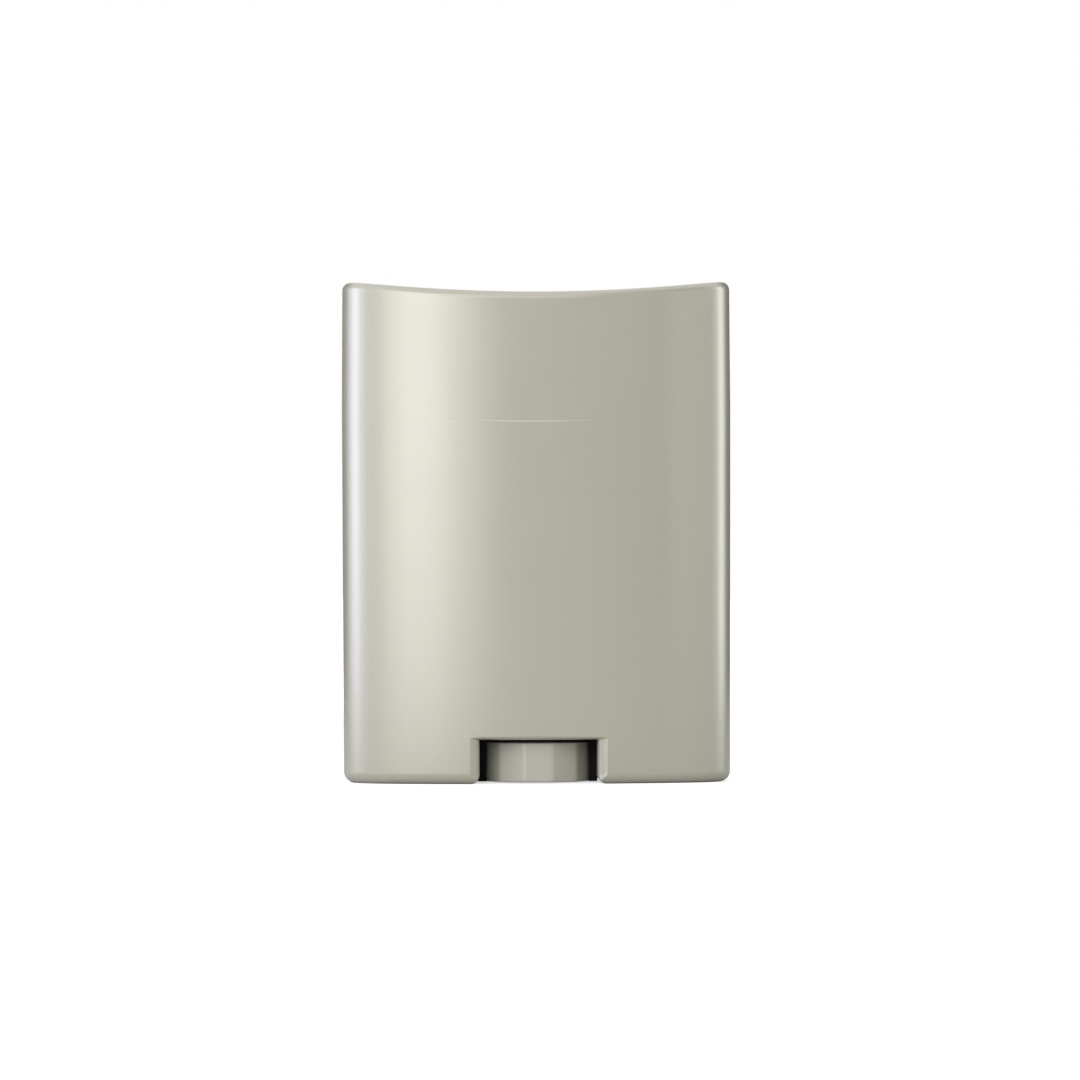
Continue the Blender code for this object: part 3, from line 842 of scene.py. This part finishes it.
def bay_tool():
    """The notch's cutter: a channel from front to back, flared at its foot and its two mouths."""
    half = bay_half_width()
    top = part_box("dial")[1].z + BAY_HEADROOM
    face = half_depth(half, sizes().casing_draft)
    mouth = face - LIP_DEPTH
    base = sizes().foot_round
    tool = add_block("bay_tool", (-half, -mouth, base), (half, mouth, top))
    open_piece(tool)
    pick("EDGE", lambda edge: near(edge.verts[0].co.z, edge.verts[1].co.z)
         and near(edge.verts[0].co.y, edge.verts[1].co.y))
    bpy.ops.mesh.subdivide(number_cuts=BAY_COLUMNS - 1)
    pick("FACE", facing((0, 0, -1)))
    lower = base - BAY_FOOT_ROUND
    bpy.ops.mesh.extrude_region_move(TRANSFORM_OT_translate={"value": (0, 0, -lower)})
    flare_out(lip_steps(BAY_FOOT_ROUND, BAY_FOOT_ROUND), (0, 0, -1), half, top)
    for side in (-1, 1):
        pick("FACE", facing((0, side, 0)))
        flare_out(lip_steps(LIP_DEPTH, LIP_ROUND, LIP_TOP_ROUND), (0, side, 0), half, top)
    close_piece()
    for vertex in tool.data.vertices:
        out = abs(vertex.co.y) - mouth
        if out > TOLERANCE:
            follow = half_depth(vertex.co.x, sizes().casing_draft) - face - foot_inset(vertex.co.z)
            vertex.co.y += math.copysign(follow, vertex.co.y)
    return tool


class STICK_OT_casing(Operator):
    """Casing: an open oval shell with a rounded foot and a notch for the dial in front and back"""

    bl_idname = "stick.casing"
    bl_label = "Casing"

    def execute(self, context):
        size = sizes()
        seam = middle_height("outer_casing", max)
        shoulder = seam - size.seam_edge
        casing = add_oval("pearl_casing", 0, 0, shoulder)
        open_piece(casing)
        pick("FACE", facing((0, 0, -1)))
        resize_oval(0, size.casing_draft, 0)
        soften(level_edge(0), size.foot_round, ROUND_STEPS)
        pick("FACE", facing((0, 0, 1)))
        inner = size.casing_wall
        draw_out([
            (0, shoulder),
            (0, seam),
            (inner, seam),
            (inner + size.casing_draft, size.casing_floor),
        ])
        pick("EDGE", level_edge(shoulder))
        bpy.ops.mesh.mark_sharp()
        close_piece()
        step_back(casing, seam)
        dish(casing, size.seam_dish, seam / 2, seam)
        bay = bay_half_width()
        roof = middle_height("dial_housing", max) - HOUSING_PLATE
        reach = half_depth(bay + CHEEK_WALL, size.casing_wall / 2)
        for low_x, high_x in ((bay, bay + CHEEK_WALL), (-bay - CHEEK_WALL, -bay)):
            low = (low_x, -reach, size.casing_floor / 2)
            high = (high_x, reach, roof - size.clearance)
            cut(casing, add_block("cheek_tool", low, high), "UNION")
        cut(casing, bay_tool())
        seat = Vector((TONGUE_FACE, TONGUE_REACH, roof))
        cut(casing, add_block("seat_tool", (-seat.x, -seat.y, -BAY_OVERRUN), seat))
        finish_piece(casing, pearl_finish(), "stick_body", "outer_casing")
        return {"FINISHED"}


class STICK_OT_dial(Operator):
    """Dial: a twelve-sided knob, hollow from above round a hub with a square socket"""

    bl_idname = "stick.dial"
    bl_label = "Dial"

    def execute(self, context):
        low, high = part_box("dial")
        flat_radius = (high.x - low.x) / 2
        radius = flat_radius / math.cos(math.pi / DIAL_SIDES)
        dial = add_round("turning_dial", radius, low.z, high.z, DIAL_SIDES)
        open_piece(dial)
        bpy.ops.mesh.select_all(action="SELECT")
        bpy.ops.transform.rotate(
            value=math.pi / DIAL_SIDES, orient_axis="Z", center_override=(0, 0, 0)
        )
        soften(lambda edge: not near(edge.verts[0].co.z, edge.verts[1].co.z), DIAL_EDGE)
        soften(level_edge(low.z), DIAL_RIM_EDGE)
        soften(level_edge(high.z), DIAL_RIM_EDGE)
        close_piece()
        pocket_radius = flat_radius - DIAL_SKIRT
        pocket = add_round(
            "pocket_tool", pocket_radius, low.z + DIAL_FLOOR, high.z + DIAL_FLOOR
        )
        hub = add_round("hub_tool", HUB_RADIUS, low.z, high.z + DIAL_FLOOR + DIAL_SKIRT)
        cut(pocket, hub)
        cut(dial, pocket)
        half = SOCKET_FLATS / 2
        socket = add_block(
            "socket_tool", (-half, -half, low.z + DIAL_FLOOR), (half, half, high.z + DIAL_FLOOR)
        )
        cut(dial, socket)
        finish_piece(dial, lightened_pearl_finish(), "dial_drive", "dial")
        return {"FINISHED"}


class STICK_OT_barrel(Operator):
    """Barrel: holds the balm, with bands that centre it in the casing and a beaded neck"""

    bl_idname = "stick.barrel"
    bl_label = "Barrel"

    def execute(self, context):
        size = sizes()
        low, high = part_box("inner_barrel")
        band = size.casing_wall + size.clearance
        neck = size.cap_wall + 2 * size.clearance + size.liner_wall
        foot = low.z + FOOT_BAND
        ledge = middle_height("outer_casing", max) - SHOULDER_DROP
        bead = high.z - BEAD_DROP
        deck = low.z + BARREL_FLOOR
        slope = neck - band
        barrel = add_oval("balm_barrel", band + size.casing_draft, low.z, foot)
        open_piece(barrel)
        pick("FACE", facing((0, 0, 1)))
        draw_out([
            (band + size.casing_draft, foot),
            (neck, foot + slope),
            (neck, ledge - SHOULDER_BAND - slope),
            (band, ledge - SHOULDER_BAND),
            (band, ledge),
            (neck, ledge),
            (neck, bead - BEAD_WIDTH),
            (neck - NECK_BEAD, bead - BEAD_WIDTH / 2),
            (neck, bead),
            (neck, high.z),
            (neck + BARREL_WALL, high.z),
            (neck + BARREL_WALL, deck),
        ])
        soften(level_edge(high.z), NECK_ROUND)
        close_piece()
        dish(barrel, size.seam_dish, ledge - SHOULDER_BAND - slope, ledge)
        cut(barrel, add_round("bore_tool", JOURNAL_BORE, low.z - BARREL_FLOOR, deck + BARREL_FLOOR))
        seat = deck - SEAL_SEAT_DEPTH
        cut(barrel, add_round("seat_tool", SEAL_SEAT_RADIUS, seat, deck + BARREL_FLOOR))
        finish_piece(barrel, white_finish(), "stick_body", "inner_barrel")
        return {"FINISHED"}


class STICK_OT_balm(Operator):
    """Balm: a crowned bar with a plug in the carriage's cup and a hole for the screw"""

    bl_idname = "stick.balm"
    bl_label = "Balm"

    def execute(self, context):
        size = sizes()
        low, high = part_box("balm_bar")
        outer = size.cap_wall + 3 * size.clearance + size.liner_wall + BARREL_WALL
        plug = outer + CARRIAGE_WALL + size.clearance
        shoulder = low.z + CUP_DEPTH
        balm = add_oval("balm_stick", outer, shoulder, high.z)
        open_piece(balm)
        soften(level_edge(high.z), BALM_EDGE, ROUND_STEPS)
        pick("FACE", facing((0, 0, -1)))
        draw_out([(outer, shoulder), (plug, shoulder), (plug, low.z)])
        connect_across(high.z)
        close_piece()
        for vertex in balm.data.vertices:
            if vertex.co.z > shoulder + BALM_EDGE:
                vertex.co.z -= rise(BALM_CROWN_RADIUS, vertex.co.x)
        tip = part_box("lead_screw")[1].z + SCREW_ROOM
        cut(balm, add_round("hole_tool", BALM_HOLE_RADIUS, low.z - CUP_DEPTH, tip))
        finish_piece(balm, balm_finish(), "balm_carriage", "balm_bar")
        return {"FINISHED"}


class STICK_OT_inner_finishes(Operator):
    """Inner pieces: gives the seal, the screw and the carriage their finishes, and the housing a
    painted shade
    """

    bl_idname = "stick.inner_finishes"
    bl_label = "Inner pieces"

    def execute(self, context):
        looks = {
            # The housing's near-black is painted shade for the gaps beside the dial
            "dial_housing": (painted_shade_finish(), "dark_plastic"),
            "spindle_seal": (rubber_finish(), "seal_rubber"),
            "lead_screw": (natural_finish(), "natural_plastic"),
            "carriage": (natural_finish(), "natural_plastic"),
        }
        for node, (finish, slot) in looks.items():
            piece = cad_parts[node]
            piece.data.materials.clear()
            piece.data.materials.append(finish)
        return {"FINISHED"}


# Photograph: its side in pixels, the stick's scale and centre in it, and the camera's place
FRAME_PIXELS = 1080
PIXELS_PER_METRE = 6070
CENTRE_PIXEL_X = 536.4
CENTRE_PIXEL_Y = 532.0
CAMERA_DISTANCE = 1.1
CAMERA_AZIMUTH = math.radians(-1.5)
CAMERA_ROLL = math.radians(0.154)
CAMERA_CLIP_END = 20
SENSOR_WIDTH = 36

# Studio: a ring of soft panels round the stick. Each spans two azimuths in degrees, counted from
# the front to the right in the photo, and has its strength, its colour and its height
LOW = 0.40
TALL = 0.60
PLAIN = (1, 1, 1)
COOL = (0.98, 1.00, 1.28)
PANELS = (
    (-118, -103, 0.68, COOL, LOW),
    (-103, -91.5, 2.03, COOL, LOW),
    (-91.5, -80.5, 2.43, COOL, LOW),
    (-80.5, -69.5, 1.14, COOL, LOW),
    (-69.5, -58, 0.53, COOL, LOW),
    (-58, -46, 0.72, PLAIN, TALL),
    (-46, -35, 1.48, PLAIN, TALL),
    (-35, -25, 2.02, PLAIN, TALL),
    (-25, -15, 1.92, PLAIN, TALL),
    (-15, -6, 0.98, PLAIN, TALL),
    (35, 80, 0.28, PLAIN, LOW),
    (80, 91, 0.69, PLAIN, LOW),
    (91, 100, 2.18, PLAIN, LOW),
    (100, 109, 2.38, PLAIN, LOW),
    (109, 120, 0.76, PLAIN, LOW),
    (166, 194, 0.90, PLAIN, LOW),
)
# Black cards beside the back panels, which give the sides their dark edges
CARDS = ((120, 166), (-166, -118))
RING_DISTANCE = 0.50
# Cloth tent behind the ring, open at the top: its radius, height and glow
TENT_RADIUS = 0.56
TENT_HEIGHT = 0.50
TENT_STEPS = 72
TENT_GLOW = 0.38
# Piece of roof over the front, right of the stick: its lowest and highest corners
ROOF = ((0.05, -0.56, 0.50), (0.50, -0.02, 0.51))
# Square floor under the stick: its side and its colour
FLOOR_SIDE = 6.0
FLOOR_COLOUR = (0.64, 0.64, 0.63, 1)
# Low fills in front, which light the notch and which gloss doesn't show: azimuths and strengths
FILLS = ((-20, 3.6), (15, 1.25))
FILL_DISTANCE = 0.35
FILL_HEIGHT = 0.13
FILL_SIDE = 0.16
# High strip in front, which only gloss shows: it lights the seam's edge and the cap's upper edge.
# It is turned to the stick at the height STRIP_AIM
STRIP_AZIMUTH = -4
STRIP_DISTANCE = 0.40
STRIP_HEIGHT = 0.45
STRIP_SIZE = (0.16, 0.12)
STRIP_STRENGTH = 0.55
STRIP_AIM = 0.06
# White that the floor shows to the camera beyond its own light: this share near the stick, rising
# to 1 between two distances. Gloss shows it only out there
FLOOR_LIFT = 0.62
LIFT_START = 0.40
LIFT_END = 0.56
# Strength of the surround as a light. Where it is seen, it is plain white
SURROUND_STRENGTH = 0.81


def around(azimuth, distance, height):
    """A point at an azimuth from the front, seen from above, round the stick."""
    turn = math.radians(azimuth)
    return Vector((math.sin(turn) * distance, -math.cos(turn) * distance, height))


def ring_span(start, end):
    """Middle azimuth and width of a flat piece of the ring that spans two azimuths."""
    return (start + end) / 2, 2 * RING_DISTANCE * math.tan(math.radians(end - start) / 2)


def card_finish():
    """Black card: matt, with a slight cloud."""
    return plastic_finish(
        "black_card", (0.03, 0.03, 0.03),
        tint_share=0.6, grains=900, roughness=(0.8, 0.9), depth=0.00001,
    )


class STICK_OT_studio(Operator):
    """Studio: pale floor, white surround, soft panels and the photograph's camera"""

    bl_idname = "stick.studio"
    bl_label = "Studio"

    def execute(self, context):
        self.add_floor()
        self.light_surround(context.scene)
        for start, end, strength, colour, height in PANELS:
            self.add_panel(start, end, strength, colour, height)
        for azimuth, strength in FILLS:
            self.add_fill(azimuth, strength)
        self.add_strip()
        for start, end in CARDS:
            self.add_card(start, end)
        self.add_tent()
        self.add_camera(context.scene)
        context.scene.view_settings.view_transform = "Standard"
        return {"FINISHED"}

    def add_floor(self):
        start_clean()
        bpy.ops.mesh.primitive_plane_add(size=FLOOR_SIDE, location=(0, 0, 0))
        floor = bpy.context.active_object
        floor.name = "floor"
        finish = bpy.data.materials.new("pale_floor")
        finish.use_nodes = True
        tree = finish.node_tree
        shader = tree.nodes["Principled BSDF"]
        set_inputs(shader, {
            "Base Color": FLOOR_COLOUR, "Roughness": 1, "Specular IOR Level": 0,
            "Emission Color": WHITE,
        })
        where = add_node(tree, "ShaderNodeTexCoord", (-1300, -500))
        reach = add_node(tree, "ShaderNodeVectorMath", (-1100, -500), operation="LENGTH")
        far = add_node(tree, "ShaderNodeMapRange", (-900, -500), interpolation_type="SMOOTHSTEP")
        set_inputs(far, {"From Min": LIFT_START, "From Max": LIFT_END})
        link(tree, where.outputs["Object"], reach.inputs[0])
        link(tree, reach.outputs["Value"], far.inputs["Value"])
        level = add_node(tree, "ShaderNodeMath", (-500, -500), operation="MULTIPLY_ADD")
        level.inputs[1].default_value = 1 - FLOOR_LIFT
        level.inputs[2].default_value = FLOOR_LIFT
        lift = add_node(tree, "ShaderNodeMath", (-300, -300), operation="MULTIPLY")
        link(tree, far.outputs["Result"], level.inputs[0])
        link(tree, background_rays(tree, far.outputs["Result"]), lift.inputs[0])
        link(tree, level.outputs[0], lift.inputs[1])
        link(tree, lift.outputs[0], shader.inputs["Emission Strength"])
        floor.data.materials.append(finish)

    def light_surround(self, scene):
        world = bpy.data.worlds.new("surround")
        scene.world = world
        world.use_nodes = True
        tree = world.node_tree
        tree.nodes.clear()
        seen = background_rays(tree)
        plain = add_node(tree, "ShaderNodeBackground", (0, 100))
        set_inputs(plain, {"Color": WHITE, "Strength": SURROUND_STRENGTH})
        white = add_node(tree, "ShaderNodeBackground", (0, -100))
        set_inputs(white, {"Color": WHITE, "Strength": 1})
        mix = add_node(tree, "ShaderNodeMixShader", (250, 0))
        end = add_node(tree, "ShaderNodeOutputWorld", (450, 0))
        link(tree, seen, mix.inputs[0])
        link(tree, plain.outputs[0], mix.inputs[1])
        link(tree, white.outputs[0], mix.inputs[2])
        link(tree, mix.outputs[0], end.inputs["Surface"])

    def add_panel(self, start, end, strength, colour, height):
        """One upright panel of the ring, from the floor up."""
        azimuth, width = ring_span(start, end)
        place = around(azimuth, RING_DISTANCE, height / 2)
        lamp = self.add_lamp(place, width, height, strength, colour)
        lamp.rotation_euler = (math.pi / 2, 0, math.radians(azimuth))

    def add_fill(self, azimuth, strength):
        """One low fill, turned to the stick's foot."""
        place = around(azimuth, FILL_DISTANCE, FILL_HEIGHT)
        lamp = self.add_lamp(place, FILL_SIDE, FILL_SIDE, strength, PLAIN)
        lamp.rotation_euler = (math.atan2(FILL_DISTANCE, FILL_HEIGHT), 0, math.radians(azimuth))
        lamp.visible_glossy = False

    def add_strip(self):
        """The high strip, turned to the seam."""
        place = around(STRIP_AZIMUTH, STRIP_DISTANCE, STRIP_HEIGHT)
        lamp = self.add_lamp(place, *STRIP_SIZE, STRIP_STRENGTH, PLAIN)
        tilt = math.atan2(STRIP_DISTANCE, STRIP_HEIGHT - STRIP_AIM)
        lamp.rotation_euler = (tilt, 0, math.radians(STRIP_AZIMUTH))
        lamp.visible_diffuse = False

    def add_lamp(self, place, width, height, strength, colour):
        start_clean()
        bpy.ops.object.light_add(type="AREA", location=place)
        lamp = bpy.context.active_object
        lamp.name = "panel"
        lamp.data.shape = "RECTANGLE"
        lamp.data.size = width
        lamp.data.size_y = height
        lamp.data.energy = strength * math.pi * width * height
        lamp.data.color = colour
        lamp.visible_camera = False
        return lamp

    def add_card(self, start, end):
        """One black card of the ring, which the camera doesn't see."""
        start_clean()
        azimuth, width = ring_span(start, end)
        bpy.ops.mesh.primitive_plane_add(
            size=1, location=around(azimuth, RING_DISTANCE, LOW / 2),
            rotation=(math.pi / 2, 0, math.radians(azimuth)),
        )
        card = bpy.context.active_object
        card.name = "black_card"
        card.scale = (width, LOW, 1)
        bpy.ops.object.transform_apply(location=True, rotation=True, scale=True)
        card.data.materials.append(card_finish())
        card.visible_camera = False

    def add_tent(self):
        """Glowing cloth round the ring, which the camera doesn't see."""
        start_clean()
        bpy.ops.mesh.primitive_cylinder_add(
            vertices=TENT_STEPS, radius=TENT_RADIUS, depth=TENT_HEIGHT, end_fill_type="NOTHING",
            location=(0, 0, TENT_HEIGHT / 2),
        )
        tent = bpy.context.active_object
        tent.name = "tent"
        bpy.ops.object.transform_apply(location=True, rotation=True, scale=True)
        roof = add_block("tent_roof", *ROOF)
        cloth = bpy.data.materials.new("tent_cloth")
        cloth.use_nodes = True
        set_inputs(cloth.node_tree.nodes["Principled BSDF"], {
            "Base Color": BLACK, "Specular IOR Level": 0,
            "Emission Color": WHITE, "Emission Strength": TENT_GLOW,
        })
        for piece in (tent, roof):
            piece.data.materials.append(cloth)
            piece.visible_camera = False

    def add_camera(self, scene):
        height = (CAD_BOX[0].z + CAD_BOX[1].z) / 2
        place = around(math.degrees(CAMERA_AZIMUTH), CAMERA_DISTANCE, height)
        turn = (math.pi / 2, CAMERA_ROLL, CAMERA_AZIMUTH)
        bpy.ops.object.camera_add(location=place, rotation=turn)
        camera = bpy.context.active_object
        camera.name = "camera"
        camera.data.sensor_width = SENSOR_WIDTH
        camera.data.lens = SENSOR_WIDTH * CAMERA_DISTANCE * PIXELS_PER_METRE / FRAME_PIXELS
        camera.data.shift_x = (FRAME_PIXELS / 2 - CENTRE_PIXEL_X) / FRAME_PIXELS
        camera.data.shift_y = (CENTRE_PIXEL_Y - FRAME_PIXELS / 2) / FRAME_PIXELS
        camera.data.clip_end = CAMERA_CLIP_END
        scene.camera = camera


def background_rays(tree, gloss_share=None):
    """1 for rays that see the background: from the camera, off gloss and through clear things."""
    rays = add_node(tree, "ShaderNodeLightPath", (-900, -200))
    first = add_node(tree, "ShaderNodeMath", (-700, -200), operation="MAXIMUM")
    both = add_node(tree, "ShaderNodeMath", (-500, -200), operation="MAXIMUM")
    gloss = rays.outputs["Is Glossy Ray"]
    if gloss_share:
        part = add_node(tree, "ShaderNodeMath", (-800, -350), operation="MULTIPLY")
        link(tree, gloss, part.inputs[0])
        link(tree, gloss_share, part.inputs[1])
        gloss = part.outputs[0]
    link(tree, rays.outputs["Is Camera Ray"], first.inputs[0])
    link(tree, gloss, first.inputs[1])
    link(tree, first.outputs[0], both.inputs[0])
    link(tree, rays.outputs["Is Transmission Ray"], both.inputs[1])
    return both.outputs[0]


OPERATORS = (
    STICK_OT_outer_cap,
    STICK_OT_cap_liner,
    STICK_OT_casing,
    STICK_OT_dial,
    STICK_OT_barrel,
    STICK_OT_balm,
    STICK_OT_inner_finishes,
    STICK_OT_studio,
)


class STICK_PT_pieces(Panel):
    """Lists the operators that build the stick"""

    bl_idname = "STICK_PT_pieces"
    bl_label = "Balm stick"
    bl_space_type = "VIEW_3D"
    bl_region_type = "UI"
    bl_category = "Balm stick"

    def draw(self, context):
        column = self.layout.column(align=True)
        for operator in OPERATORS:
            column.operator(operator.bl_idname)


CLASSES = (StickSizes, StickFinishes, *OPERATORS, STICK_PT_pieces)


def register():
    for made in CLASSES:
        bpy.utils.register_class(made)
    bpy.types.Scene.stick_sizes = PointerProperty(type=StickSizes)
    bpy.types.Scene.stick_finishes = PointerProperty(type=StickFinishes)


def unregister():
    del bpy.types.Scene.stick_finishes
    del bpy.types.Scene.stick_sizes
    for made in reversed(CLASSES):
        bpy.utils.unregister_class(made)


def main():
    register()
    for operator in OPERATORS:
        group, name = operator.bl_idname.split(".")
        getattr(getattr(bpy.ops, group), name)()
    start_clean()


if __name__ == "__main__":
    main()
